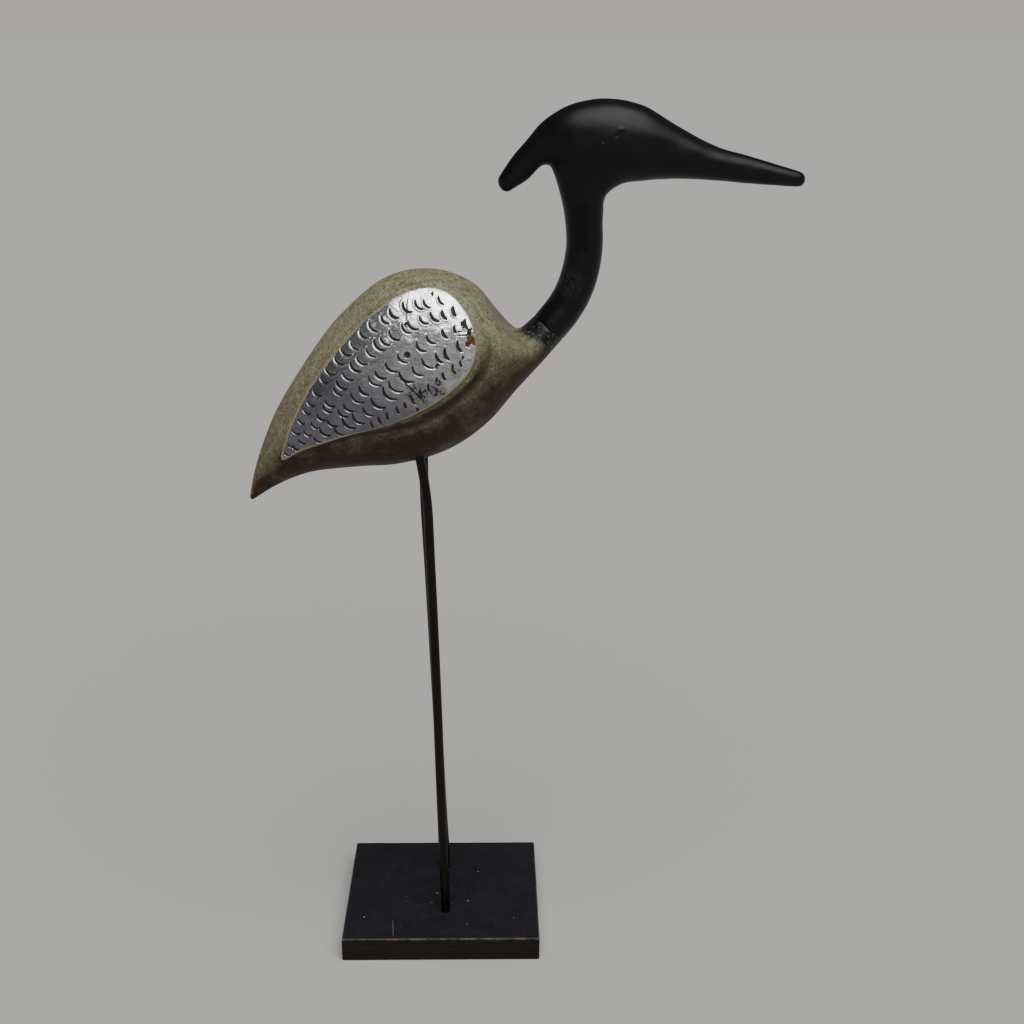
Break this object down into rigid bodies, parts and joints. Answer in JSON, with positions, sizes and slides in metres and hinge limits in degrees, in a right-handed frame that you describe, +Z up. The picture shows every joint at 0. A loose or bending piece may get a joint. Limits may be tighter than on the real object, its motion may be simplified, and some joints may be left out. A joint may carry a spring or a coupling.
{
  "type": "crane figurine",
  "caption": "Carved and painted wooden crane standing on rod legs on a square plinth, with embossed metal wing sheets and a swept-back crest.",
  "frame": {"origin": "middle of the plinth's underside", "axes": "+Z up, +X the way the bird looks, +Y to the bird's left"},
  "size_m": [0.3199, 0.12, 0.5049],
  "materials": {
    "plinth_paint": "satin black paint on wood, dusty on top and worn along the front edge",
    "leg_paint": "glossy brown-black paint on a metal rod",
    "body_paint": "hand-brushed khaki green paint on wood, shading to dark brown underneath",
    "head_paint": "satin black paint on carved wood, brushed out to green at the foot of the neck",
    "wing_metal": "thin embossed sheet with black paint in rows of curved strokes"
  },
  "bodies": {
    "root": {"base_plinth": "plinth_paint", "leg_right": "leg_paint", "leg_left": "leg_paint", "body": "body_paint", "neck_and_head": "head_paint", "wing_sheet_right": "wing_metal", "wing_sheet_left": "wing_metal"}
  },
  "joints": []
}
